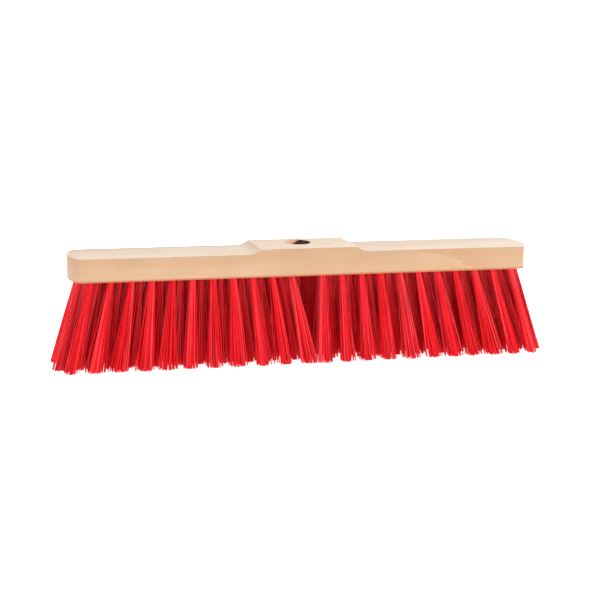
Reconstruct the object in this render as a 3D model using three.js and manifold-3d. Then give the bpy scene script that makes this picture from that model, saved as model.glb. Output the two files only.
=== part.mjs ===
// Push broom head: a beech stock with a raised saddle and a slanted handle bore, filled with five
// staggered rows of red filament tufts. Each tuft is folded over a flat steel anchor in a blind hole.
//
// Frame: millimetres, +Z up. The tips rest on z = 0, X runs along the stock, and -Y is the front,
// the side away from the sweeper. The handle leaves the bore upwards and towards +Y.

import * as THREE from "three";
import { mergeVertices } from "three/addons/utils/BufferGeometryUtils.js";
import Module from "manifold-3d";

const wasm = await Module();
wasm.setup();

// Stock
const STOCK_LENGTH = 502;
const STOCK_WIDTH = 65;
const STOCK_THICKNESS = 25;
const END_BOW_RADIUS = 62; // each end is one shallow arc across the width
const CORNER_RADIUS = 5;
const SADDLE_RISE = 5;
const SADDLE_HALF_LENGTH = 52.5; // the flat top of the saddle
const SADDLE_COVE_LENGTH = 14; // the hollow ramp at each end of it

// Handle bore, right through the stock
const BORE_DIAMETER = 28;
const BORE_X = -3; // a little off the middle
const BORE_TILT = 30; // degrees from upright, the top towards +Y

// Tufts
const TIP_HEIGHT = 93; // from the tips to the underside of the stock
const HOLE_RADIUS = 4;
const HOLE_DEPTH = 14;
const TUFT_GAP = 0.3; // between a tuft and the wall and floor of its hole
const PITCH = 21.3; // along a row
const FIRST_TUFT = 17; // from the middle to the first tuft of the outer rows
const LAST_TUFT = 238.5; // the outermost tuft of the second and fourth rows
const ROW_SPACING = 12;
const TIP_RADIUS = 6; // across the row
const FRONT_SPREAD = 1.3; // how many times wider a front tuft's tips are along the row
const MERGED_SPREAD = 2.2; // the same for the rows behind, wide enough to merge at the tips
const TIP_FIELD_LENGTH = 540; // the brushed width
const PARTING_X = 11.4; // where the tips of the two halves of a row meet
const PARTING_GAP = 0.4;

// Where the bore leaves too little wood for the regular spacing, the first hole moves outwards.
const MIDDLE_ROW_FIRST = 20.5;
const FOURTH_ROW_EXTRA = 16.8;

// Behind the bore the back row is closer, to fill the space that the other rows leave open.
const BACK_ROW_FIRST = 18;
const BACK_ROW_EXTRA = 9;
const BACK_PARTING_X = 13.5;

// Lean of the tufts, in degrees. Each half of the stock is filled in one swing of the table.
const OUTER_LEAN = 15; // at the ends, outwards
const LEFT_INNER_LEAN = 10; // beside the bore on the left, towards +X
const RIGHT_INNER_LEAN = -1;
const ROW_LEAN = 4; // added for each row away from the middle one, outwards

// Anchors: short lengths of flat wire, on edge, whose ends bite into the wall of the hole
const ANCHOR_LENGTH = 9.2;
const ANCHOR_THICKNESS = 0.6;
const ANCHOR_HEIGHT = 2.4;
const ANCHOR_DEPTH = 10.4; // from the mouth of the hole to the middle of the anchor

const ROUND_SIDES = 8; // of holes and tufts
const BORE_SIDES = 32;

const UNDERSIDE = TIP_HEIGHT;
const SADDLE_TOP = UNDERSIDE + STOCK_THICKNESS + SADDLE_RISE;

const beech = new THREE.MeshStandardMaterial({ color: 0xe3c29b, roughness: 0.62, metalness: 0 });
const redFilament = new THREE.MeshStandardMaterial({ color: 0xdd0f1c, roughness: 0.38, metalness: 0 });
const steel = new THREE.MeshStandardMaterial({ color: 0xb9bcc0, roughness: 0.35, metalness: 1 });

const broomHead = new THREE.Group();

function addPart(name, geometry, material) {
  const mesh = new THREE.Mesh(geometry, material);
  mesh.name = name;
  broomHead.add(mesh);
}

// A closed geometry as a solid that can be cut and joined.
function solidOf(geometry) {
  const bare = geometry.clone();
  bare.deleteAttribute("normal");
  bare.deleteAttribute("uv");
  const merged = mergeVertices(bare, 1e-4);
  return new wasm.Manifold(
    new wasm.Mesh({
      numProp: 3,
      vertProperties: new Float32Array(merged.attributes.position.array),
      triVerts: new Uint32Array(merged.index.array),
    }),
  );
}

function geometryOf(solid) {
  const mesh = solid.getMesh();
  const geometry = new THREE.BufferGeometry();
  geometry.setAttribute("position", new THREE.BufferAttribute(mesh.vertProperties, 3));
  geometry.setIndex(new THREE.BufferAttribute(mesh.triVerts, 1));
  geometry.computeVertexNormals();
  return geometry;
}

// ---- Layout of the tufts ----

// The lean grows evenly outwards on the left, and quickly at first on the right.
function leanAlong(x) {
  const outwards = (Math.abs(x) - FIRST_TUFT) / (LAST_TUFT - FIRST_TUFT);
  if (outwards < 0) {
    return (LEFT_INNER_LEAN + RIGHT_INNER_LEAN) / 2;
  }
  return x < 0
    ? THREE.MathUtils.lerp(LEFT_INNER_LEAN, -OUTER_LEAN, outwards)
    : THREE.MathUtils.lerp(RIGHT_INNER_LEAN, OUTER_LEAN, Math.sin((outwards * Math.PI) / 2));
}

// A tuft, as the placement of its axis: +Y out of the hole, +X along the row and the origin at the
// mouth. Row -2 is the front one.
function tuftAt(x, row) {
  const alongTan = Math.tan(THREE.MathUtils.degToRad(leanAlong(x)));
  const acrossTan = Math.tan(THREE.MathUtils.degToRad(row * ROW_LEAN));
  const out = new THREE.Vector3(alongTan, acrossTan, -1).normalize();
  const along = new THREE.Vector3(1, 0, 0).projectOnPlane(out).normalize();
  const across = new THREE.Vector3().crossVectors(along, out);
  const placement = new THREE.Matrix4().makeBasis(along, out, across);
  placement.setPosition(x, row * ROW_SPACING, UNDERSIDE);
  return { axisLength: TIP_HEIGHT / -out.z, placement };
}

// The tufts of one half of a row, outwards from the bore. Rows -1 and 1 are staggered.
function halfRow(row, side) {
  const first = row % 2 === 0 ? FIRST_TUFT : FIRST_TUFT + PITCH / 2;
  const places = Array.from({ length: 11 }, (_, i) => first + i * PITCH);
  if (row === 0) {
    places[0] = MIDDLE_ROW_FIRST;
  }
  if (row % 2 !== 0) {
    places[places.length - 1] = LAST_TUFT;
  }
  if (row === 1) {
    places.unshift(FOURTH_ROW_EXTRA);
  }
  if (row === 2) {
    places[0] = BACK_ROW_FIRST;
  }
  if (row === 2 && side < 0) {
    places.unshift(-BACK_ROW_EXTRA, 0, BACK_ROW_EXTRA);
  }
  return places.map((x) => tuftAt(side * x, row));
}

// ---- Tufts ----

// The tufts are trimmed level at the tips, and square at the ends of the brushed width.
const trimmed = solidOf(new THREE.BoxGeometry(TIP_FIELD_LENGTH, 200, 200).translate(0, 0, 100));

function tuftSolid(tuft, spread) {
  const rootRadius = HOLE_RADIUS - TUFT_GAP;
  const rootEnd = -(HOLE_DEPTH - TUFT_GAP);
  const beyond = tuft.axisLength * 1.1; // past the tips, so that the trim cuts it level
  const widening = (TIP_RADIUS - rootRadius) / tuft.axisLength;
  const endRadius = rootRadius + widening * beyond;
  const profile = [
    new THREE.Vector2(0, rootEnd),
    new THREE.Vector2(rootRadius, rootEnd),
    new THREE.Vector2(rootRadius, 0),
    new THREE.Vector2(endRadius, beyond),
    new THREE.Vector2(0, beyond),
  ];
  const geometry = new THREE.LatheGeometry(profile, ROUND_SIDES);
  const position = geometry.attributes.position;
  for (let i = 0; i < position.count; i++) {
    const share = Math.max(0, position.getY(i) / tuft.axisLength);
    position.setX(i, position.getX(i) * (1 + (spread - 1) * share));
  }
  return solidOf(geometry.applyMatrix4(tuft.placement)).intersect(trimmed);
}

function anchorGeometry(tuft, clearance) {
  const box = new THREE.BoxGeometry(
    ANCHOR_LENGTH + 2 * clearance,
    ANCHOR_HEIGHT + 2 * clearance,
    ANCHOR_THICKNESS + 2 * clearance,
  );
  return box.translate(0, -ANCHOR_DEPTH, 0).applyMatrix4(tuft.placement);
}

const frontRow = [...halfRow(-2, -1).reverse(), ...halfRow(-2, 1)];

frontRow.forEach((tuft, i) => {
  const number = String(i + 1).padStart(2, "0");
  const slot = solidOf(anchorGeometry(tuft, TUFT_GAP));
  const folded = tuftSolid(tuft, FRONT_SPREAD).subtract(slot);
  addPart("front_tuft_" + number, geometryOf(folded), redFilament);
  addPart("front_anchor_" + number, anchorGeometry(tuft, 0), steel);
});

// Behind the front row, the fans of half a row are wide enough to merge at the tips into one solid.
// The halves are cut back from each other along the parting plane.
function mergedTufts(row, side) {
  const partingX = row === 2 ? BACK_PARTING_X : PARTING_X;
  const halfSpace = new THREE.BoxGeometry(600, 200, 300);
  halfSpace.translate(partingX + side * (300 + PARTING_GAP / 2), 0, 100);
  return halfRow(row, side)
    .map((tuft) => tuftSolid(tuft, MERGED_SPREAD))
    .reduce((joined, next) => joined.add(next))
    .intersect(solidOf(halfSpace));
}

const ROWS_BEHIND = { second: -1, middle: 0, fourth: 1, back: 2 };
for (const [name, row] of Object.entries(ROWS_BEHIND)) {
  addPart(name + "_row_tufts_left", geometryOf(mergedTufts(row, -1)), redFilament);
  addPart(name + "_row_tufts_right", geometryOf(mergedTufts(row, 1)), redFilament);
}

// ---- Stock ----

// The outline seen from above: straight sides, bowed ends and small rounded corners.
function planOutline() {
  const halfWidth = STOCK_WIDTH / 2;
  const bowCentre = STOCK_LENGTH / 2 - END_BOW_RADIUS;
  const cornerY = halfWidth - CORNER_RADIUS;
  const cornerX = bowCentre + Math.sqrt((END_BOW_RADIUS - CORNER_RADIUS) ** 2 - cornerY ** 2);
  const bowAngle = Math.atan2(cornerY, cornerX - bowCentre);
  const quarter = Math.PI / 2;
  const shape = new THREE.Shape();
  shape.moveTo(-cornerX, -halfWidth);
  shape.lineTo(cornerX, -halfWidth);
  shape.absarc(cornerX, -cornerY, CORNER_RADIUS, -quarter, -bowAngle);
  shape.absarc(bowCentre, 0, END_BOW_RADIUS, -bowAngle, bowAngle);
  shape.absarc(cornerX, cornerY, CORNER_RADIUS, bowAngle, quarter);
  shape.lineTo(-cornerX, halfWidth);
  shape.absarc(-cornerX, cornerY, CORNER_RADIUS, quarter, Math.PI - bowAngle);
  shape.absarc(-bowCentre, 0, END_BOW_RADIUS, Math.PI - bowAngle, Math.PI + bowAngle);
  shape.absarc(-cornerX, -cornerY, CORNER_RADIUS, Math.PI + bowAngle, 3 * quarter);
  return shape;
}

// The side view: a flat board whose saddle rises on a hollow cove at each end.
function sideOutline() {
  const halfAngle = Math.atan(SADDLE_RISE / SADDLE_COVE_LENGTH);
  const coveAngle = 2 * halfAngle;
  const coveRadius = SADDLE_COVE_LENGTH / Math.sin(coveAngle);
  const coveFoot = SADDLE_HALF_LENGTH + SADDLE_COVE_LENGTH;
  const flatTop = UNDERSIDE + STOCK_THICKNESS;
  const beyond = STOCK_LENGTH / 2 + 10;
  const down = -Math.PI / 2;
  const shape = new THREE.Shape();
  shape.moveTo(-beyond, UNDERSIDE);
  shape.lineTo(beyond, UNDERSIDE);
  shape.lineTo(beyond, flatTop);
  shape.absarc(coveFoot, flatTop + coveRadius, coveRadius, down, down - coveAngle, true);
  shape.lineTo(-SADDLE_HALF_LENGTH, SADDLE_TOP);
  shape.absarc(-coveFoot, flatTop + coveRadius, coveRadius, down + coveAngle, down, true);
  shape.lineTo(-beyond, flatTop);
  return shape;
}

function extruded(shape, depth, curveSegments) {
  return new THREE.ExtrudeGeometry(shape, { depth, bevelEnabled: false, curveSegments });
}

function handleBore() {
  const length = 90;
  const bore = new THREE.CylinderGeometry(BORE_DIAMETER / 2, BORE_DIAMETER / 2, length, BORE_SIDES);
  const upright = THREE.MathUtils.degToRad(90);
  const tilt = THREE.MathUtils.degToRad(BORE_TILT);
  const middleHeight = (UNDERSIDE + SADDLE_TOP) / 2;
  return solidOf(bore.rotateX(upright - tilt).translate(BORE_X, 0, middleHeight));
}

function tuftHole(tuft) {
  const mouthOverrun = 3; // the drill starts clear of the underside
  const length = HOLE_DEPTH + mouthOverrun;
  const drill = new THREE.LatheGeometry(
    [
      new THREE.Vector2(0, -HOLE_DEPTH),
      new THREE.Vector2(HOLE_RADIUS, -HOLE_DEPTH),
      new THREE.Vector2(HOLE_RADIUS, length - HOLE_DEPTH),
      new THREE.Vector2(0, length - HOLE_DEPTH),
    ],
    ROUND_SIDES,
  );
  return solidOf(drill.applyMatrix4(tuft.placement));
}

const board = solidOf(
  extruded(planOutline(), SADDLE_TOP - UNDERSIDE + 10, 5).translate(0, 0, UNDERSIDE - 5),
);
const sideView = solidOf(
  extruded(sideOutline(), STOCK_WIDTH + 10, 4)
    .rotateX(Math.PI / 2)
    .translate(0, STOCK_WIDTH / 2 + 5, 0),
);

const allTufts = [-2, -1, 0, 1, 2].flatMap((row) => [...halfRow(row, -1), ...halfRow(row, 1)]);
const drills = allTufts.map(tuftHole);
const kerfs = frontRow.map((tuft) => solidOf(anchorGeometry(tuft, TUFT_GAP)));
const stock = board.intersect(sideView).subtract(wasm.Manifold.union([handleBore(), ...drills, ...kerfs]));
addPart("stock", geometryOf(stock), beech);

export default broomHead;
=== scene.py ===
from math import atan, atan2, cos, pi, radians, sin, sqrt, tan

import bmesh
import bpy
from mathutils import Matrix, Vector


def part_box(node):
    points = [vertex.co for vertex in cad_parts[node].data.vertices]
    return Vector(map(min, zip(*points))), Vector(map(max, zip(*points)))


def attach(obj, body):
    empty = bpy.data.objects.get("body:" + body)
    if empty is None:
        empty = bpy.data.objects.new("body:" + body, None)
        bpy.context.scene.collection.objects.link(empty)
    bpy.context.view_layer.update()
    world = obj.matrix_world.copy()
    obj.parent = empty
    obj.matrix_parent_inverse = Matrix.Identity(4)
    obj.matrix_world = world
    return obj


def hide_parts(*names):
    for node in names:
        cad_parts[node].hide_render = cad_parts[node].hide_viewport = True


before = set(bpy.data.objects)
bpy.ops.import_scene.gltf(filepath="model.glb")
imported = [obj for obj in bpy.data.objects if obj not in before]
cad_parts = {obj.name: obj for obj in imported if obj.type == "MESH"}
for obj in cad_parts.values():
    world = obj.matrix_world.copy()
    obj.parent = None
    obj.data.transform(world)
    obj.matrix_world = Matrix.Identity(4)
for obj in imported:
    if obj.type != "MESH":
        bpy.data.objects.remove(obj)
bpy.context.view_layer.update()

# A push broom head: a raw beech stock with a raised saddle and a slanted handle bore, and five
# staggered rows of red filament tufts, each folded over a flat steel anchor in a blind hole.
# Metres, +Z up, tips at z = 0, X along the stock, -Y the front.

MM = 0.001

# ---- Sizes of the stock, from the frame where it holds them ----

stock_low, stock_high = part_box("stock")
UNDERSIDE = stock_low.z
SADDLE_TOP = stock_high.z
HALF_LENGTH = stock_high.x
HALF_WIDTH = stock_high.y
SADDLE_RISE = 5 * MM
FLAT_TOP = SADDLE_TOP - SADDLE_RISE
SADDLE_HALF_LENGTH = 52.5 * MM
SADDLE_COVE_LENGTH = 14 * MM
END_BOW_RADIUS = 62 * MM
CORNER_RADIUS = 5 * MM
BOTTOM_ROUNDING = 1 * MM
TOP_ROUNDING = 0.5 * MM
BORE_RADIUS = 14 * MM
BORE_TILT = radians(30)
BORE_MIDDLE = Vector((-3 * MM, 0, (UNDERSIDE + SADDLE_TOP) / 2))

# ---- Sizes of the tufts ----

# Leans are in degrees. A fan is how much wider than its hole a tuft grows by its tips, as a share
# of the hole's width, and the tufts next to the stock's ends keep to a smaller fan.

TUFTS_PER_HALF = 11
PITCH = 21.3 * MM
FIRST_TUFT = 17 * MM
LAST_TUFT = 238.5 * MM
ROW_SPACING = 12 * MM
MIDDLE_ROW_FIRST = 20.5 * MM
FOURTH_ROW_EXTRA = 16.8 * MM
BACK_ROW_FIRST = 18 * MM
BACK_ROW_EXTRA = 9 * MM
BACK_ROW_CENTRE = 0.8 * MM
OUTER_LEAN = 15
LEFT_INNER_LEAN = 10
RIGHT_INNER_LEAN = -1
ROW_LEAN = 4
HOLE_RADIUS = 4 * MM
HOLE_DEPTH = 14 * MM
STRANDS_PER_TUFT = 24
STRAND_DIAMETER = 1.15 * MM
BUNDLE_RADIUS = HOLE_RADIUS - 0.15 * MM
FRONT_FAN = 2.1
INNER_FAN = 2.3
END_FAN_SHARE = 0.6
END_TUFTS_FROM = 220 * MM
ANCHOR_LENGTH = 9.2 * MM
ANCHOR_THICKNESS = 0.6 * MM
ANCHOR_HEIGHT = 2.4 * MM
ANCHOR_DEPTH = 10.4 * MM

ROWS = {"front": -2, "second": -1, "middle": 0, "fourth": 1, "back": 2}


def lean_along(x):
    """Degrees towards +X: even growth outwards on the left, quick at first on the right. Between
    the front row's first tufts it is the mean of the two inner leans."""
    outwards = (abs(x) - FIRST_TUFT) / (LAST_TUFT - FIRST_TUFT)
    if outwards < 0:
        return (LEFT_INNER_LEAN + RIGHT_INNER_LEAN) / 2
    if x < 0:
        return LEFT_INNER_LEAN - (LEFT_INNER_LEAN + OUTER_LEAN) * outwards
    return RIGHT_INNER_LEAN + (OUTER_LEAN - RIGHT_INNER_LEAN) * sin(outwards * pi / 2)


def places_of(row):
    """Where the tufts of a row stand along X. Those next to the bore keep clear of it."""
    staggered = row % 2
    first = FIRST_TUFT + (PITCH / 2 if staggered else 0)
    half = [first + i * PITCH for i in range(TUFTS_PER_HALF)]
    centre = []
    if staggered:
        half[-1] = LAST_TUFT
    if row == ROWS["middle"]:
        half[0] = MIDDLE_ROW_FIRST
    if row == ROWS["fourth"]:
        half.insert(0, FOURTH_ROW_EXTRA)
    if row == ROWS["back"]:
        half[0] = BACK_ROW_FIRST
        half.insert(0, BACK_ROW_EXTRA)
        centre = [BACK_ROW_CENTRE]
    return [-x for x in reversed(half)] + centre + half


def tufts_of(row):
    """The mouth of each tuft's hole in a row, and the slopes of its axis along X and Y."""
    across = tan(radians(row * ROW_LEAN))
    return [
        (
            Vector((x, row * ROW_SPACING, UNDERSIDE)),
            Vector((tan(radians(lean_along(x))), across, 0)),
        )
        for x in places_of(row)
    ]


def tuft_placement(mouth, slopes):
    """Local +Z leaves the hole along the tuft's axis, and local +X runs along the row."""
    out = Vector((slopes.x, slopes.y, -1)).normalized()
    along = (Vector((1, 0, 0)) - out * out.x).normalized()
    across = out.cross(along)
    turn = Matrix((along, across, out)).transposed()
    return Matrix.Translation(mouth) @ turn.to_4x4()


# ---- Camera, light and floor ----

CAMERA_AT = Vector((-411.7, -1581.7, 389.2)) * MM
CAMERA_YAW = radians(14.543)
CAMERA_PITCH = radians(11.36)
CAMERA_ROLL = radians(0.735)
CAMERA_LENS = 92.53
LIGHTS_AIM_AT = Vector((0, 0, 0.08))
FLOOR_REACH = 40
FLOOR_GLOW = 1.0
FLOOR_GLOW_SEEN = 0.9
ROOM_GLOW = 0.28
ROOM_GLOW_SEEN = 1.05


def link(obj):
    bpy.context.scene.collection.objects.link(obj)
    return obj


def add_camera():
    """Looks a little down at the front, from its left."""
    data = bpy.data.cameras.new("camera")
    data.lens = CAMERA_LENS
    data.sensor_width = 36
    data.clip_end = 100
    camera = link(bpy.data.objects.new("camera", data))
    camera.matrix_world = (
        Matrix.Translation(CAMERA_AT)
        @ Matrix.Rotation(-CAMERA_YAW, 4, "Z")
        @ Matrix.Rotation(pi / 2 - CAMERA_PITCH, 4, "X")
        @ Matrix.Rotation(CAMERA_ROLL, 4, "Z")
    )
    bpy.context.scene.camera = camera


def add_softbox(name, position, size, power):
    """An area light of this size in metres and power in watts, turned to the broom head."""
    data = bpy.data.lights.new(name, "AREA")
    data.shape = "RECTANGLE"
    data.size, data.size_y = size
    data.energy = power
    lamp = link(bpy.data.objects.new(name, data))
    lamp.location = position
    lamp.rotation_mode = "QUATERNION"
    lamp.rotation_quaternion = (LIGHTS_AIM_AT - lamp.location).to_track_quat("-Z", "Y")


def new_material(name):
    """A material with an empty node tree."""
    material = bpy.data.materials.new(name)
    material.use_nodes = True
    material.node_tree.nodes.clear()
    return material


class Wiring:
    """Short spellings for adding and joining the nodes of one tree."""

    def __init__(self, tree):
        self.tree = tree

    def node(self, kind, inputs=None, **settings):
        made = self.tree.nodes.new(kind)
        for key, value in settings.items():
            setattr(made, key, value)
        for key, value in (inputs or {}).items():
            self.feed(made.inputs[key], value)
        return made

    def feed(self, socket, value):
        if isinstance(value, bpy.types.NodeSocket):
            self.tree.links.new(value, socket)
        else:
            socket.default_value = value

    def math(self, operation, a, b=0.0, c=0.0):
        made = self.node("ShaderNodeMath", {0: a, 1: b, 2: c}, operation=operation)
        return made.outputs[0]

    def vector_math(self, operation, a, b=(0, 0, 0)):
        made = self.node("ShaderNodeVectorMath", {0: a, 1: b}, operation=operation)
        return made.outputs[0]

    def ramp(self, value, low, high, to_low=0.0, to_high=1.0, smooth=True):
        """Turns low to high into to_low to to_high, and holds the end values beyond."""
        made = self.node(
            "ShaderNodeMapRange",
            {
                "Value": value,
                "From Min": low,
                "From Max": high,
                "To Min": to_low,
                "To Max": to_high,
            },
            interpolation_type="SMOOTHSTEP" if smooth else "LINEAR",
        )
        return made.outputs[0]

    def blend(self, factor, a, b):
        """The colour a at factor 0, and b at 1."""
        made = self.node("ShaderNodeMix", data_type="RGBA")
        self.feed(made.inputs[0], factor)
        self.feed(made.inputs[6], a)
        self.feed(made.inputs[7], b)
        return made.outputs[2]


def colour(red, green, blue):
    """An sRGB colour, 0 to 255, as the linear values that sockets take."""
    def linear(value):
        share = value / 255
        return share / 12.92 if share <= 0.04045 else ((share + 0.055) / 1.055) ** 2.4

    return (linear(red), linear(green), linear(blue), 1)


def add_floor():
    """A wide pale floor that can be looked through from below."""
    mesh = bpy.data.meshes.new("floor")
    square = [(-1, -1), (1, -1), (1, 1), (-1, 1)]
    corners = [(x * FLOOR_REACH, y * FLOOR_REACH, 0) for x, y in square]
    mesh.from_pydata(corners, [], [(0, 1, 2, 3)])
    floor = link(bpy.data.objects.new("floor", mesh))
    material = new_material("pale_floor")
    w = Wiring(material.node_tree)
    surface = w.node(
        "ShaderNodeBsdfPrincipled",
        {"Base Color": (0.93, 0.93, 0.93, 1), "Roughness": 0.9, "Specular IOR Level": 0.1},
    )
    surface.inputs["Emission Color"].default_value = (1, 1, 1, 1)
    seen = w.node("ShaderNodeLightPath").outputs["Is Camera Ray"]
    glow = w.ramp(seen, 0.0, 1.0, FLOOR_GLOW, FLOOR_GLOW_SEEN, smooth=False)
    w.feed(surface.inputs["Emission Strength"], glow)
    clear = w.node("ShaderNodeBsdfTransparent")
    side = w.node("ShaderNodeNewGeometry").outputs["Backfacing"]
    mix = w.node("ShaderNodeMixShader", {0: side, 1: surface.outputs[0], 2: clear.outputs[0]})
    w.node("ShaderNodeOutputMaterial", {"Surface": mix.outputs[0]})
    mesh.materials.append(material)


def add_room():
    """A dim room that looks white. The main light is high behind on the right and a softer one is
    in front on the right, so that the stock and the front tufts shade the rows behind. Two weak
    ones fill in the tips and the left end."""
    world = bpy.data.worlds.new("studio")
    world.use_nodes = True
    world.node_tree.nodes.clear()
    w = Wiring(world.node_tree)
    seen = w.node("ShaderNodeLightPath").outputs["Is Camera Ray"]
    strength = w.ramp(seen, 0.0, 1.0, ROOM_GLOW, ROOM_GLOW_SEEN, smooth=False)
    background = w.node("ShaderNodeBackground", {"Color": (1, 1, 1, 1), "Strength": strength})
    w.node("ShaderNodeOutputWorld", {"Surface": background.outputs[0]})
    bpy.context.scene.world = world
    bpy.context.scene.view_settings.view_transform = "Standard"
    add_softbox("key", (1.8, 1.6, 4.6), (2.0, 2.0), 290)
    add_softbox("front", (2.9, -3.2, 1.5), (1.6, 1.2), 102)
    add_softbox("low_front", (-0.2, -2.4, 0.3), (3.0, 0.4), 5)
    add_softbox("left", (-2.2, -0.2, 0.9), (1.2, 0.8), 26)
    add_floor()


# ---- Shader groups shared by the materials ----


def new_group(name, inputs, outputs):
    """A shader group with its sockets, as the wiring, the group's inputs and its output node."""
    tree = bpy.data.node_groups.new(name, "ShaderNodeTree")
    kinds = {"float": "NodeSocketFloat", "vector": "NodeSocketVector", "colour": "NodeSocketColor"}
    for label, kind, *start in inputs:
        socket = tree.interface.new_socket(label, in_out="INPUT", socket_type=kinds[kind])
        if start:
            socket.default_value = start[0]
    for label, kind in outputs:
        tree.interface.new_socket(label, in_out="OUTPUT", socket_type=kinds[kind])
    w = Wiring(tree)
    return w, w.node("NodeGroupInput").outputs, w.node("NodeGroupOutput").inputs


def placed(w, group, inputs):
    """Puts a shader group in a tree, and gives its outputs."""
    return w.node("ShaderNodeGroup", inputs, node_tree=group).outputs


def make_mottle_group():
    """Cloudy variation with fine grit in it, stretched by the caller's own coordinates."""
    w, given, result = new_group(
        "surface_mottle",
        [("Place", "vector"), ("Cloud Size", "float", 30.0), ("Grit Size", "float", 900.0)],
        [("Cloud", "float"), ("Grit", "float")],
    )
    cloud = w.node("ShaderNodeTexNoise", {"Vector": given["Place"], "Scale": given["Cloud Size"]})
    cloud.inputs["Detail"].default_value = 3
    grit = w.node("ShaderNodeTexNoise", {"Vector": given["Place"], "Scale": given["Grit Size"]})
    grit.inputs["Detail"].default_value = 2
    w.feed(result["Cloud"], w.ramp(cloud.outputs["Fac"], 0.3, 0.7))
    w.feed(result["Grit"], w.ramp(grit.outputs["Fac"], 0.3, 0.7))
    return w.tree


def make_grain_group():
    """Growth rings about a pith line below the board and forward of its middle, long soft streaks,
    and the small dark flecks and fine fibres of beech."""
    w, given, result = new_group(
        "beech_grain",
        [
            ("Place", "vector"),
            ("Pith Below", "float", 0.19),
            ("Pith Forward", "float", 0.05),
            ("Ring Width", "float", 0.0042),
            ("Wander", "float", 0.02),
        ],
        [("Ring", "float"), ("Figure", "float"), ("Fleck", "float"), ("Fibre", "float")],
    )
    drift_at = w.vector_math("MULTIPLY", given["Place"], (3.2, 7.0, 7.0))
    drift = w.node("ShaderNodeTexNoise", {"Vector": drift_at, "Scale": 1.0, "Detail": 1.5})
    push = w.math("MULTIPLY", w.math("SUBTRACT", drift.outputs["Fac"], 0.5), given["Wander"])
    part = w.node("ShaderNodeSeparateXYZ", {0: given["Place"]}).outputs
    across = w.math("ADD", part["Y"], given["Pith Forward"])
    above = w.math("ADD", part["Z"], given["Pith Below"])
    squares = w.math("ADD", w.math("MULTIPLY", across, across), w.math("MULTIPLY", above, above))
    radius = w.math("ADD", w.math("SQRT", squares), push)
    turns = w.math("DIVIDE", radius, given["Ring Width"])
    year = w.math("FRACT", turns)
    late = w.ramp(year, 0.25, 0.93)
    early = w.ramp(year, 0.93, 1.0, 1.0, 0.0)
    strength_at = w.math("FLOOR", turns)
    each = w.node("ShaderNodeTexWhiteNoise", {"W": strength_at}, noise_dimensions="1D")
    line = w.math("MULTIPLY", w.math("MULTIPLY", late, early), each.outputs["Value"])
    w.feed(result["Ring"], line)
    figure_at = w.vector_math("MULTIPLY", given["Place"], (9.0, 90.0, 130.0))
    figure = w.node("ShaderNodeTexNoise", {"Vector": figure_at, "Scale": 1.0, "Detail": 2.0})
    w.feed(result["Figure"], w.ramp(figure.outputs["Fac"], 0.42, 0.68))
    fleck_at = w.vector_math("MULTIPLY", given["Place"], (170.0, 800.0, 800.0))
    fleck = w.node("ShaderNodeTexNoise", {"Vector": fleck_at, "Scale": 1.0, "Detail": 1.0})
    w.feed(result["Fleck"], w.ramp(fleck.outputs["Fac"], 0.56, 0.72))
    fibre_at = w.vector_math("MULTIPLY", given["Place"], (60.0, 2600.0, 2600.0))
    fibre = w.node("ShaderNodeTexNoise", {"Vector": fibre_at, "Scale": 1.0, "Detail": 2.0})
    w.feed(result["Fibre"], fibre.outputs["Fac"])
    return w.tree


def finish_material(w, surface):
    w.node("ShaderNodeOutputMaterial", {"Surface": surface.outputs[0]})


def wood_colour(w, grain, marks, facing):
    """Warm sides, a top painted paler as painted sheen seen at a grazing view, and duller ends,
    with the grain in them.
    """
    end_grain = w.ramp(w.math("ABSOLUTE", facing["X"]), 0.55, 0.9)
    upward = w.ramp(facing["Z"], 0.5, 0.9)
    side_tone = w.blend(marks["Cloud"], colour(175, 145, 114), colour(183, 153, 123))
    # Painted sheen: the top gets a paler tone than the sides, standing in for the room's reflection
    # at a grazing view.
    top_tone_painted_sheen = w.blend(marks["Cloud"], colour(202, 187, 171), colour(208, 195, 180))
    tone = w.blend(upward, side_tone, top_tone_painted_sheen)
    tone = w.blend(end_grain, tone, colour(161, 133, 112))

    # The grain is fainter on the top.
    streak_share = w.math("MULTIPLY_ADD", upward, -0.32, 0.5)
    ring_share = w.math("MULTIPLY_ADD", upward, -0.12, 0.2)
    streaks = w.math("MULTIPLY", grain["Figure"], streak_share)
    rings = w.math("MULTIPLY", grain["Ring"], ring_share)
    flecks = w.math("MULTIPLY", grain["Fleck"], 0.22)
    fibres = w.ramp(grain["Fibre"], 0.35, 0.65, 0.0, 0.13)
    tone = w.blend(streaks, tone, colour(184, 136, 96))
    tone = w.blend(rings, tone, colour(188, 140, 100))
    tone = w.blend(flecks, tone, colour(162, 112, 78))
    return w.blend(fibres, tone, colour(180, 135, 98))


def with_growth_layer(w, wood, at, grain, marks, facing):
    """One growth layer runs out through the right of the front, darker above than below."""
    layer_start = 130 * MM
    layer_slope = 2.7
    below_top = w.math("SUBTRACT", FLAT_TOP, at["Z"])
    from_start = w.math("SUBTRACT", at["X"], layer_start)
    straight = w.math("MULTIPLY_ADD", below_top, -layer_slope, from_start)
    waves = w.math("MULTIPLY_ADD", grain["Figure"], 14 * MM, straight)
    beyond = w.math("MULTIPLY_ADD", marks["Cloud"], 9 * MM, waves)
    in_front = w.ramp(facing["Y"], -0.5, -0.9)
    fading = w.ramp(beyond, 75 * MM, 15 * MM, 0.0, 0.26)
    above = w.math("MULTIPLY", w.ramp(beyond, 0.0, 4 * MM), fading)
    rim = w.ramp(beyond, 2 * MM, 0.0, 0.0, 0.32)
    edge = w.math("MULTIPLY", w.ramp(beyond, -5 * MM, -1 * MM), rim)
    darkened = w.blend(w.math("MULTIPLY", in_front, above), wood, colour(172, 122, 86))
    return w.blend(w.math("MULTIPLY", in_front, edge), darkened, colour(198, 170, 138))


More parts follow.
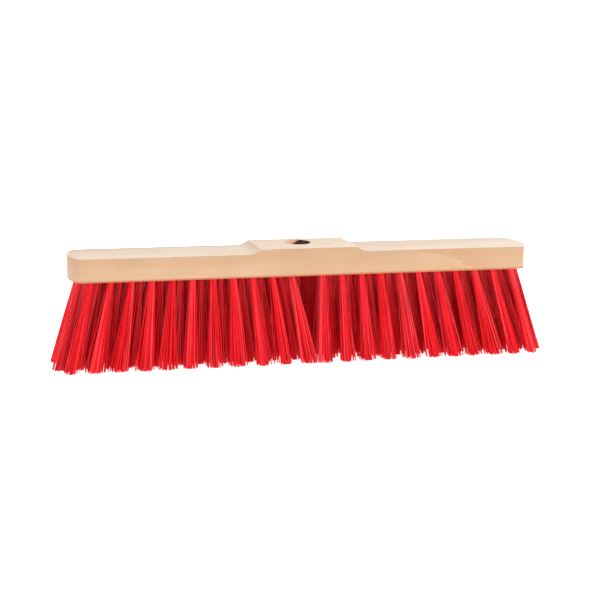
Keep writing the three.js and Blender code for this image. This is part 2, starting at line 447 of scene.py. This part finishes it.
def with_edge_lines(w, wood, at):
    """A warm line along the bottom. The back is duller towards the left, and its tone comes over
    the top's back edge as a line."""
    at_bottom = w.ramp(at["Z"], UNDERSIDE + 3.0 * MM, UNDERSIDE + 0.8 * MM, 0.0, 0.9)
    warmed = w.blend(at_bottom, wood, colour(160, 90, 54))
    at_back = w.ramp(at["Y"], HALF_WIDTH - 6.0 * MM, HALF_WIDTH - 3.0 * MM)
    on_left = w.ramp(at["X"], -190 * MM, 20 * MM, 0.75, 0.0)
    return w.blend(w.math("MULTIPLY", at_back, on_left), warmed, colour(128, 92, 70))


def with_painted_bore_shade(w, wood, place, at, marks):
    """Painted shade in the bore: all of its wall but the upper left is painted dark brown, with a
    red-brown band along a slanted edge, as the rim's shadow. The upper left keeps a paler wood tone
    as painted light.
    """
    bore_axis = (0, sin(BORE_TILT), cos(BORE_TILT))
    from_middle = w.vector_math("SUBTRACT", place, BORE_MIDDLE)
    off_axis = w.node(
        "ShaderNodeVectorMath",
        {0: w.vector_math("CROSS_PRODUCT", from_middle, bore_axis)},
        operation="LENGTH",
    ).outputs["Value"]
    on_wall = w.math("LESS_THAN", off_axis, BORE_RADIUS + 0.15 * MM)
    below_top = w.math("SUBTRACT", SADDLE_TOP, at["Z"])
    slanted = w.math("MULTIPLY_ADD", below_top, 1.6, at["X"])
    patchy = w.math("MULTIPLY_ADD", marks["Grit"], 1.2 * MM, slanted)
    # Painted shadow: a red-brown edge band and a dark brown tone, slanted like the shadow the right
    # rim throws into the bore.
    painted_shadow_edge = w.math("MULTIPLY", on_wall, w.ramp(patchy, 1.4 * MM, 3.0 * MM))
    painted_shadow = w.math("MULTIPLY", on_wall, w.ramp(patchy, 3.2 * MM, 4.8 * MM))
    painted_shadow_tone = w.blend(marks["Grit"], colour(38, 17, 10), colour(72, 46, 33))
    # Painted light: the whole wall first gets a paler wood tone, which shows only in its lit upper
    # left.
    painted_lit_wall = w.blend(w.math("MULTIPLY", on_wall, 0.85), wood, colour(222, 184, 150))
    wall_with_painted_shadow_edge = w.blend(painted_shadow_edge, painted_lit_wall, colour(150, 62, 40))
    return w.blend(painted_shadow, wall_with_painted_shadow_edge, painted_shadow_tone)


def make_beech(mottle_group, grain_group):
    material = new_material("raw_beech")
    w = Wiring(material.node_tree)
    texture_place = w.node("ShaderNodeTexCoord").outputs
    place = texture_place["Object"]
    at = w.node("ShaderNodeSeparateXYZ", {0: place}).outputs
    facing = w.node("ShaderNodeSeparateXYZ", {0: texture_place["Normal"]}).outputs
    grain = placed(w, grain_group, {"Place": place})
    marks = placed(w, mottle_group, {"Place": place, "Cloud Size": 14.0, "Grit Size": 700.0})

    wood = wood_colour(w, grain, marks, facing)
    wood = with_growth_layer(w, wood, at, grain, marks, facing)
    wood = with_edge_lines(w, wood, at)
    wood = with_painted_bore_shade(w, wood, place, at, marks)

    relief = w.math("ADD", w.math("MULTIPLY", grain["Fibre"], 0.5), marks["Grit"])
    bump = w.node("ShaderNodeBump", {"Height": relief, "Strength": 0.25, "Distance": 0.00012})
    rough = w.ramp(marks["Grit"], 0.0, 1.0, 0.52, 0.68)
    surface = w.node(
        "ShaderNodeBsdfPrincipled",
        {"Base Color": wood, "Roughness": rough, "Normal": bump.outputs[0]},
    )
    surface.inputs["Specular IOR Level"].default_value = 0.3
    finish_material(w, surface)
    return material


def make_red_filament(mottle):
    """Drawn red plastic, each strand of its own tone, a few of them painted pale pink as painted
    highlight streaks. Painted shade darkens the strands at the root under the stock, and the tips
    are paler.
    """
    material = new_material("red_filament")
    w = Wiring(material.node_tree)
    place = w.node("ShaderNodeTexCoord").outputs["Object"]
    tone = w.node("ShaderNodeAttribute", attribute_name="strand_tone").outputs["Fac"]
    reach = w.node("ShaderNodeAttribute", attribute_name="strand_reach").outputs["Fac"]
    drawn = w.vector_math("MULTIPLY", place, (1.0, 1.0, 0.12))
    marks = placed(w, mottle, {"Place": drawn, "Cloud Size": 90.0, "Grit Size": 2600.0})
    red = w.blend(w.ramp(tone, 0.0, 0.6), colour(196, 0, 12), colour(240, 3, 26))
    # Painted highlight: a few strands get a pale pink tone that stands in for highlight streaks.
    strand_with_painted_highlight = w.blend(w.ramp(tone, 0.72, 0.86, 0.0, 0.7), red, colour(250, 76, 86))
    clouded = w.blend(w.math("MULTIPLY", marks["Cloud"], 0.25), strand_with_painted_highlight, colour(200, 0, 14))
    # Painted shade: the strands are darkened at the root, under the stock.
    root_painted_shade = w.blend(w.ramp(reach, 0.0, 0.3, 0.15, 0.0), clouded, colour(118, 0, 8))
    worn = w.blend(w.ramp(reach, 0.85, 1.0, 0.0, 0.08), root_painted_shade, colour(240, 70, 74))
    bump = w.node(
        "ShaderNodeBump", {"Height": marks["Grit"], "Strength": 0.15, "Distance": 0.00004}
    )
    rough = w.ramp(tone, 0.0, 1.0, 0.26, 0.38)
    surface = w.node(
        "ShaderNodeBsdfPrincipled",
        {"Base Color": worn, "Roughness": rough, "Normal": bump.outputs[0]},
    )
    surface.inputs["Specular IOR Level"].default_value = 0.22
    finish_material(w, surface)
    return material


def make_cut_filament(mottle):
    """The sawn ends of the filaments, paler and duller than their drawn skin."""
    material = new_material("cut_filament_end")
    w = Wiring(material.node_tree)
    place = w.node("ShaderNodeTexCoord").outputs["Object"]
    marks = placed(w, mottle, {"Place": place, "Cloud Size": 300.0, "Grit Size": 3000.0})
    pale = w.blend(marks["Cloud"], colour(226, 60, 66), colour(236, 120, 120))
    bump = w.node("ShaderNodeBump", {"Height": marks["Grit"], "Strength": 0.3, "Distance": 0.00008})
    surface = w.node(
        "ShaderNodeBsdfPrincipled",
        {"Base Color": pale, "Roughness": 0.7, "Normal": bump.outputs[0]},
    )
    finish_material(w, surface)
    return material


def make_anchor_steel(mottle):
    material = new_material("anchor_steel")
    w = Wiring(material.node_tree)
    place = w.node("ShaderNodeTexCoord").outputs["Object"]
    drawn = w.vector_math("MULTIPLY", place, (0.15, 1.0, 1.0))
    marks = placed(w, mottle, {"Place": drawn, "Cloud Size": 400.0, "Grit Size": 4000.0})
    grey = w.blend(marks["Cloud"], colour(176, 178, 182), colour(204, 205, 207))
    rough = w.ramp(marks["Grit"], 0.0, 1.0, 0.3, 0.46)
    bump = w.node("ShaderNodeBump", {"Height": marks["Grit"], "Strength": 0.2, "Distance": 0.00003})
    surface = w.node(
        "ShaderNodeBsdfPrincipled",
        {"Base Color": grey, "Metallic": 1.0, "Roughness": rough, "Normal": bump.outputs[0]},
    )
    finish_material(w, surface)
    return material


# ---- The beech stock ----


def arc(centre, radius, start, end, steps):
    """Points along an arc of a circle, both ends included."""
    turns = [start + (end - start) * i / steps for i in range(steps + 1)]
    return [(centre[0] + radius * cos(t), centre[1] + radius * sin(t)) for t in turns]


def plan_outline():
    """The right-hand end of the board from front to back, then the left-hand end."""
    bow_centre = HALF_LENGTH - END_BOW_RADIUS
    corner_y = HALF_WIDTH - CORNER_RADIUS
    corner_x = bow_centre + sqrt((END_BOW_RADIUS - CORNER_RADIUS) ** 2 - corner_y**2)
    bow = atan2(corner_y, corner_x - bow_centre)
    end = arc((corner_x, -corner_y), CORNER_RADIUS, -pi / 2, -bow, 8)
    end += arc((bow_centre, 0), END_BOW_RADIUS, -bow, bow, 24)[1:-1]
    end += arc((corner_x, corner_y), CORNER_RADIUS, bow, pi / 2, 8)
    return end + [(-x, -y) for x, y in end]


def side_outline():
    """The side view in X and Z: a flat board and a saddle that rises on a hollow cove."""
    cove = 2 * atan(SADDLE_RISE / SADDLE_COVE_LENGTH)
    radius = SADDLE_COVE_LENGTH / sin(cove)
    foot = SADDLE_HALF_LENGTH + SADDLE_COVE_LENGTH
    beyond = HALF_LENGTH + 10 * MM
    right = arc((foot, FLAT_TOP + radius), radius, -pi / 2, -pi / 2 - cove, 14)
    left = [(-x, z) for x, z in reversed(right)]
    base = [(-beyond, UNDERSIDE), (beyond, UNDERSIDE)]
    return base + [(beyond, FLAT_TOP)] + right + left + [(-beyond, FLAT_TOP)]


def prism(outline, depth, place):
    """A closed solid with this outline in its local X and Y, from 0 to depth along local Z."""
    form = bmesh.new()
    floor = [form.verts.new((x, y, 0)) for x, y in outline]
    roof = [form.verts.new((x, y, depth)) for x, y in outline]
    form.faces.new(list(reversed(floor)))
    form.faces.new(roof)
    count = len(outline)
    for i in range(count):
        j = (i + 1) % count
        form.faces.new((floor[i], floor[j], roof[j], roof[i]))
    form.transform(place)
    bmesh.ops.recalc_face_normals(form, faces=form.faces)
    return form


def lathe(profile, sides, form, place):
    """Adds to form the solid that a profile of (radius, height) sweeps about local Z."""
    rings = []
    for radius, height in profile:
        ring = [
            form.verts.new(place @ Vector((radius * cos(a), radius * sin(a), height)))
            for a in (2 * pi * i / sides for i in range(sides))
        ]
        rings.append(ring)
    form.faces.new(list(reversed(rings[0])))
    form.faces.new(rings[-1])
    for lower, upper in zip(rings, rings[1:]):
        for i in range(sides):
            j = (i + 1) % sides
            form.faces.new((lower[i], lower[j], upper[j], upper[i]))


def object_from(form, name):
    """Turns a bmesh into a linked object, and frees it."""
    mesh = bpy.data.meshes.new(name)
    form.to_mesh(mesh)
    form.free()
    return link(bpy.data.objects.new(name, mesh))


def cut(target, tool, operation):
    """Applies a boolean to target, and removes the tool."""
    step = target.modifiers.new("cut", "BOOLEAN")
    step.operation = operation
    step.solver = "EXACT"
    step.object = tool
    depsgraph = bpy.context.evaluated_depsgraph_get()
    result = bpy.data.meshes.new_from_object(target.evaluated_get(depsgraph))
    target.modifiers.clear()
    target.data = result
    bpy.data.objects.remove(tool)


def ease_edges(target, chosen, width, segments):
    """Rounds over the sharp edges that chosen(edge) picks."""
    form = bmesh.new()
    form.from_mesh(target.data)
    bmesh.ops.remove_doubles(form, verts=form.verts, dist=1e-6)
    picked = [
        e for e in form.edges
        if len(e.link_faces) == 2 and e.calc_face_angle(0) > radians(25) and chosen(e)
    ]
    bmesh.ops.bevel(
        form, geom=picked, offset=width, segments=segments, profile=0.5, affect="EDGES",
        clamp_overlap=True,
    )
    form.to_mesh(target.data)
    form.free()


def bore_tool():
    """A slanted cylinder that goes well past the stock on both sides."""
    form = bmesh.new()
    place = Matrix.Translation(BORE_MIDDLE) @ Matrix.Rotation(-BORE_TILT, 4, "X")
    half = 45 * MM
    lathe([(BORE_RADIUS, -half), (BORE_RADIUS, half)], 72, form, place)
    return object_from(form, "bore_tool")


def drill_tools():
    """One tool for all the tuft holes: a round wall and the shallow cone of the drill's point."""
    form = bmesh.new()
    point_radius = 0.3 * MM
    point_length = 0.8 * MM
    beyond_mouth = 3 * MM
    profile = [
        (point_radius, -HOLE_DEPTH),
        (HOLE_RADIUS, point_length - HOLE_DEPTH),
        (HOLE_RADIUS, beyond_mouth),
    ]
    for row in ROWS.values():
        for mouth, slopes in tufts_of(row):
            lathe(profile, 14, form, tuft_placement(mouth, slopes))
    return object_from(form, "drill_tools")


def at_height(height):
    return lambda edge: all(abs(v.co.z - height) < 0.05 * MM for v in edge.verts)


def above_height(height):
    return lambda edge: all(v.co.z > height for v in edge.verts)


def make_stock(material):
    """What the plan and the side view have in common, eased at its edges, bored and drilled."""
    spare = 5 * MM
    board_depth = SADDLE_TOP - UNDERSIDE + 2 * spare
    lowered = Matrix.Translation((0, 0, UNDERSIDE - spare))
    stock = object_from(prism(plan_outline(), board_depth, lowered), "beech_stock")
    width = 2 * (HALF_WIDTH + spare)
    upright = Matrix.Translation((0, width / 2, 0)) @ Matrix.Rotation(pi / 2, 4, "X")
    cut(stock, object_from(prism(side_outline(), width, upright), "side_view"), "INTERSECT")
    ease_edges(stock, at_height(UNDERSIDE), BOTTOM_ROUNDING, 3)
    ease_edges(stock, above_height(UNDERSIDE + spare), TOP_ROUNDING, 2)
    cut(stock, bore_tool(), "DIFFERENCE")
    cut(stock, drill_tools(), "DIFFERENCE")
    stock.data.materials.clear()
    stock.data.materials.append(material)
    for face in stock.data.polygons:
        face.use_smooth = True
        face.material_index = 0
    stock.data.set_sharp_from_angle(angle=radians(28))
    return stock


# ---- The tufts, by geometry nodes ----


class Growing(Wiring):
    """Wiring for a geometry tree, with named inputs."""

    def __init__(self, name, inputs):
        super().__init__(bpy.data.node_groups.new(name, "GeometryNodeTree"))
        new_socket = self.tree.interface.new_socket
        new_socket("Geometry", in_out="INPUT", socket_type="NodeSocketGeometry")
        self.identifiers = {}
        for label, kind in inputs:
            socket = new_socket(label, in_out="INPUT", socket_type="NodeSocket" + kind)
            self.identifiers[label] = socket.identifier
        new_socket("Geometry", in_out="OUTPUT", socket_type="NodeSocketGeometry")
        self.given = self.node("NodeGroupInput").outputs
        self.result = self.node("NodeGroupOutput").inputs[0]

    def attribute(self, name, kind="FLOAT"):
        made = self.node("GeometryNodeInputNamedAttribute", {"Name": name}, data_type=kind)
        return made.outputs["Attribute"]

    def keep(self, geometry, name, value, kind="FLOAT"):
        made = self.node(
            "GeometryNodeStoreNamedAttribute",
            {"Geometry": geometry, "Name": name},
            data_type=kind,
            domain="POINT",
        )
        self.feed(made.inputs["Value"], value)
        return made.outputs["Geometry"]

    def random(self, low, high, identity, seed):
        made = self.node("FunctionNodeRandomValue", data_type="FLOAT")
        self.feed(made.inputs[2], low)
        self.feed(made.inputs[3], high)
        self.feed(made.inputs["ID"], identity)
        self.feed(made.inputs["Seed"], seed)
        return made.outputs[1]

    def run_on(self, start, values):
        """Runs the tree once on the object start, and returns the plain mesh."""
        step = start.modifiers.new("grow", "NODES")
        step.node_group = self.tree
        for label, value in values.items():
            step[self.identifiers[label]] = value
        depsgraph = bpy.context.evaluated_depsgraph_get()
        mesh = bpy.data.meshes.new_from_object(
            start.evaluated_get(depsgraph), preserve_all_data_layers=True, depsgraph=depsgraph
        )
        bpy.data.objects.remove(start)
        return mesh


MOST_STRANDS = 64.0
POINTS_PER_STRAND = 15
SIDES_OF_STRAND = 5
CROWDING_AT_FOLD = 2.1
GOLDEN_SHARE = 0.618034
FOLD_BULGE = 0.45
TUFT_SWING = 1.6 * MM


def tuft_tree():
    """Each start point is a hole's mouth. Its strands lie side by side over the anchor, fold
    round it, leave the hole, and fan out from the mouth to the tips."""
    w = Growing(
        "folded_tufts",
        [
            ("Strands", "Int"),
            ("Strand Diameter", "Float"),
            ("Bundle Radius", "Float"),
            ("Anchor Half Thickness", "Float"),
            ("Fold Depth", "Float"),
            ("Tip Height", "Float"),
            ("Fan Along", "Float"),
            ("Fan Across", "Float"),
            ("Straying", "Float"),
            ("Bowing", "Float"),
            ("Trim", "Float"),
            ("Seed", "Int"),
            ("Filament", "Material"),
            ("Cut End", "Material"),
        ],
    )
    g = w.given
    m = w.math

    # One line per strand, which remembers its hole and its number in the bunch.
    tuft_number = w.node("GeometryNodeInputIndex").outputs[0]
    points = w.keep(g["Geometry"], "tuft", tuft_number, "INT")
    copies = w.node(
        "GeometryNodeDuplicateElements",
        {"Geometry": points, "Amount": g["Strands"]},
        domain="POINT",
    ).outputs
    numbered = w.keep(copies["Geometry"], "strand", copies["Duplicate Index"], "INT")
    at = w.node("GeometryNodeInputPosition").outputs[0]
    numbered = w.keep(numbered, "mouth", at, "FLOAT_VECTOR")
    line = w.node("GeometryNodeCurvePrimitiveLine", {"Start": (0, 0, 0), "End": (0, 0, 1)})
    even = w.node(
        "GeometryNodeResampleCurve", {"Curve": line.outputs[0], "Count": POINTS_PER_STRAND}
    )
    placed_lines = w.node(
        "GeometryNodeInstanceOnPoints", {"Points": numbered, "Instance": even.outputs[0]}
    )
    lines = w.node("GeometryNodeRealizeInstances", {"Geometry": placed_lines.outputs[0]})

    # Where a point is on its strand: -1 and 1 at the two tips, 0 at the fold.
    share = w.node("GeometryNodeSplineParameter").outputs["Factor"]
    way = m("MULTIPLY_ADD", share, 2.0, -1.0)
    leg = m("SIGN", way)
    on_leg = m("POWER", m("ABSOLUTE", way), CROWDING_AT_FOLD)
    tuft = w.attribute("tuft", "INT")
    strand = w.attribute("strand", "INT")
    identity = m("MULTIPLY_ADD", tuft, MOST_STRANDS, strand)
    leg_identity = m("ADD", m("MULTIPLY", identity, 2.0), m("GREATER_THAN", way, 0.0))

    def chance(low, high, of, salt):
        return w.random(low, high, of, m("ADD", g["Seed"], float(salt)))

    # The strand's own place in the bunch: sideways on the anchor, and how far out from it.
    share_out = m("DIVIDE", m("ADD", strand, 0.5), g["Strands"])
    half_strand = m("MULTIPLY", g["Strand Diameter"], 0.5)
    inner = m("ADD", g["Anchor Half Thickness"], half_strand)
    outer = m("SUBTRACT", g["Bundle Radius"], half_strand)
    out_at = m("MULTIPLY_ADD", m("SUBTRACT", outer, inner), m("POWER", share_out, 0.8), inner)
    room = m("SQRT", m("SUBTRACT", m("MULTIPLY", outer, outer), m("MULTIPLY", out_at, out_at)))
    spread_number = m("FRACT", m("MULTIPLY_ADD", strand, GOLDEN_SHARE, chance(0, 1, tuft, 1)))
    along_at = m("MULTIPLY", m("MULTIPLY_ADD", spread_number, 2.0, -1.0), room)

    # Depth below the stock's underside, negative in the hole, by way of the fold.
    fold_length = m("MULTIPLY", out_at, pi / 2)
    scallop = m("MULTIPLY", m("POWER", m("DIVIDE", along_at, outer), 2.0), g["Trim"])
    ragged = m("MULTIPLY", chance(0, 1, leg_identity, 2), g["Trim"])
    uneven = m("MULTIPLY", chance(0, 0.8, tuft, 3), g["Trim"])
    shortening = m("ADD", scallop, m("ADD", ragged, uneven))
    tip_at = m("SUBTRACT", g["Tip Height"], shortening)
    whole = m("ADD", fold_length, m("ADD", g["Fold Depth"], tip_at))
    travelled = m("MULTIPLY", whole, on_leg)
    fold_angle = m("MINIMUM", m("DIVIDE", travelled, out_at), pi / 2)
    straight = m("MAXIMUM", m("SUBTRACT", travelled, fold_length), 0.0)
    bulge = m("MULTIPLY", m("COSINE", fold_angle), m("MULTIPLY", out_at, FOLD_BULGE))
    drop = m("SUBTRACT", straight, m("ADD", g["Fold Depth"], bulge))
    out_now = m("MULTIPLY", m("MULTIPLY", out_at, m("SINE", fold_angle)), leg)

    # Beyond the mouth the bunch fans out, and each leg strays and bows in its own way.
    fall = m("DIVIDE", m("MAXIMUM", drop, 0.0), g["Tip Height"])
    own_fan = m("MULTIPLY", chance(0.75, 1.3, tuft, 4), w.attribute("own_fan"))
    fan_along = m("MULTIPLY", m("MULTIPLY", g["Fan Along"], own_fan), fall)
    fan_across = m("MULTIPLY", m("MULTIPLY", g["Fan Across"], chance(0.85, 1.15, tuft, 5)), fall)

    # Most legs stray a little, and the high power lets a few of them stray far.
    def straying(salt):
        wild = m("POWER", chance(-1, 1, leg_identity, salt), 11.0)
        mild = m("MULTIPLY", chance(-1, 1, leg_identity, salt + 1), 0.2)
        return m("MULTIPLY", m("MULTIPLY", m("ADD", wild, mild), g["Straying"]), fall)

    def bowing(salt):
        belly = m("SINE", m("MULTIPLY", fall, pi))
        amount = m("MULTIPLY", chance(-1, 1, leg_identity, salt), g["Bowing"])
        return m("MULTIPLY", amount, belly)

    leaning = w.node("ShaderNodeSeparateXYZ", {0: w.attribute("slopes", "FLOAT_VECTOR")}).outputs
    tuft_swing = m("MULTIPLY", chance(-1, 1, tuft, 6), m("MULTIPLY", fall, TUFT_SWING))
    x = m("MULTIPLY_ADD", along_at, m("ADD", fan_along, 1.0), m("MULTIPLY", leaning["X"], drop))
    x = m("ADD", m("ADD", x, tuft_swing), m("ADD", straying(10), bowing(20)))
    y = m("MULTIPLY_ADD", out_now, m("ADD", fan_across, 1.0), m("MULTIPLY", leaning["Y"], drop))
    y = m("ADD", y, m("ADD", m("MULTIPLY", straying(30), 0.5), bowing(40)))
    offset = w.node("ShaderNodeCombineXYZ", {0: x, 1: y, 2: m("MULTIPLY", drop, -1.0)})
    target = w.vector_math("ADD", w.attribute("mouth", "FLOAT_VECTOR"), offset.outputs[0])
    bent = w.node(
        "GeometryNodeSetPosition", {"Geometry": lines.outputs[0], "Position": target}
    ).outputs[0]
    toned = w.keep(bent, "strand_tone", chance(0, 1, leg_identity, 50))
    reached = w.keep(toned, "strand_reach", fall)

    # A round skin on every line, closed at the sawn ends.
    ring = w.node(
        "GeometryNodeCurvePrimitiveCircle",
        {"Resolution": SIDES_OF_STRAND, "Radius": half_strand},
    )
    skin = w.node(
        "GeometryNodeCurveToMesh",
        {"Curve": reached, "Profile Curve": ring.outputs[0], "Fill Caps": True},
    ).outputs[0]
    corners = w.node("GeometryNodeInputMeshFaceNeighbors").outputs["Vertex Count"]
    is_end = w.node(
        "FunctionNodeCompare", {2: corners, 3: 4}, data_type="INT", operation="GREATER_THAN"
    ).outputs[0]
    smooth = w.node("GeometryNodeSetShadeSmooth", {"Geometry": skin, "Shade Smooth": True})
    flat = w.node(
        "GeometryNodeSetShadeSmooth",
        {"Geometry": smooth.outputs[0], "Selection": is_end, "Shade Smooth": False},
    )
    solid = w.node("GeometryNodeRealizeInstances", {"Geometry": flat.outputs[0]})
    dressed = w.node(
        "GeometryNodeSetMaterial", {"Geometry": solid.outputs[0], "Material": g["Filament"]}
    )
    ended = w.node(
        "GeometryNodeSetMaterial",
        {"Geometry": dressed.outputs[0], "Selection": is_end, "Material": g["Cut End"]},
    )
    w.feed(w.result, ended.outputs[0])
    return w


def mouths_object(row):
    """A point at each hole's mouth, with its tuft's slopes and its share of the full fan."""
    tufts = tufts_of(row)
    mesh = bpy.data.meshes.new("mouths")
    mesh.from_pydata([mouth for mouth, _ in tufts], [], [])
    slopes = mesh.attributes.new("slopes", "FLOAT_VECTOR", "POINT")
    slopes.data.foreach_set("vector", [part for _, slope in tufts for part in slope])
    fans = mesh.attributes.new("own_fan", "FLOAT", "POINT")
    shares = [END_FAN_SHARE if abs(mouth.x) > END_TUFTS_FROM else 1.0 for mouth, _ in tufts]
    fans.data.foreach_set("value", shares)
    return link(bpy.data.objects.new("mouths", mesh))


def grow_row(tree, name, row, filament, cut_end):
    """All the filaments of one row, as one plain mesh."""
    mesh = tree.run_on(
        mouths_object(row),
        {
            "Strands": STRANDS_PER_TUFT,
            "Strand Diameter": STRAND_DIAMETER,
            "Bundle Radius": BUNDLE_RADIUS,
            "Anchor Half Thickness": ANCHOR_THICKNESS / 2,
            "Fold Depth": ANCHOR_DEPTH + ANCHOR_HEIGHT / 2,
            "Tip Height": UNDERSIDE - 0.1 * MM,
            "Fan Along": FRONT_FAN if row == ROWS["front"] else INNER_FAN,
            "Fan Across": 0.8,
            "Straying": 4.5 * MM,
            "Bowing": 0.5 * MM,
            "Trim": 0.5 * MM,
            "Seed": 100 + 37 * row,
            "Filament": filament,
            "Cut End": cut_end,
        },
    )
    mesh.name = name
    return link(bpy.data.objects.new(name, mesh))


# ---- The anchors of the rows behind the front one ----


def make_anchors(material):
    """A short flat wire on edge in the bottom of each hole, with all its edges eased."""
    form = bmesh.new()
    size = Matrix.Diagonal((ANCHOR_LENGTH, ANCHOR_THICKNESS, ANCHOR_HEIGHT, 1))
    sunk = Matrix.Translation((0, 0, -ANCHOR_DEPTH))
    inner_rows = [row for name, row in ROWS.items() if name != "front"]
    for row in inner_rows:
        for mouth, slopes in tufts_of(row):
            place = tuft_placement(mouth, slopes)
            bmesh.ops.create_cube(form, size=1, matrix=place @ sunk @ size)
    edge_width = 0.12 * MM
    bmesh.ops.bevel(
        form, geom=list(form.edges), offset=edge_width, segments=1, profile=0.5, affect="EDGES"
    )
    anchors = object_from(form, "inner_row_anchors")
    anchors.data.materials.append(material)
    return anchors


# ---- The whole head ----

NODES_OF_ROW = {
    "front": [f"front_tuft_{i:02d}" for i in range(1, 23)],
    "second": ["second_row_tufts_left", "second_row_tufts_right"],
    "middle": ["middle_row_tufts_left", "middle_row_tufts_right"],
    "fourth": ["fourth_row_tufts_left", "fourth_row_tufts_right"],
    "back": ["back_row_tufts_left", "back_row_tufts_right"],
}

mottle_group = make_mottle_group()
grain_group = make_grain_group()
raw_beech = make_beech(mottle_group, grain_group)
red_filament = make_red_filament(mottle_group)
cut_filament = make_cut_filament(mottle_group)
anchor_steel = make_anchor_steel(mottle_group)

stock = make_stock(raw_beech)
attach(stock, "root")
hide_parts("stock")

folded_tufts = tuft_tree()
for row_name, row_number in ROWS.items():
    filaments = grow_row(
        folded_tufts, row_name + "_row_filaments", row_number, red_filament, cut_filament
    )
    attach(filaments, "root")
    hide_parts(*NODES_OF_ROW[row_name])

inner_anchors = make_anchors(anchor_steel)
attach(inner_anchors, "root")
for node_name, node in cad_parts.items():
    if node_name.startswith("front_anchor"):
        node.data.materials.clear()
        node.data.materials.append(anchor_steel)

add_camera()
add_room()
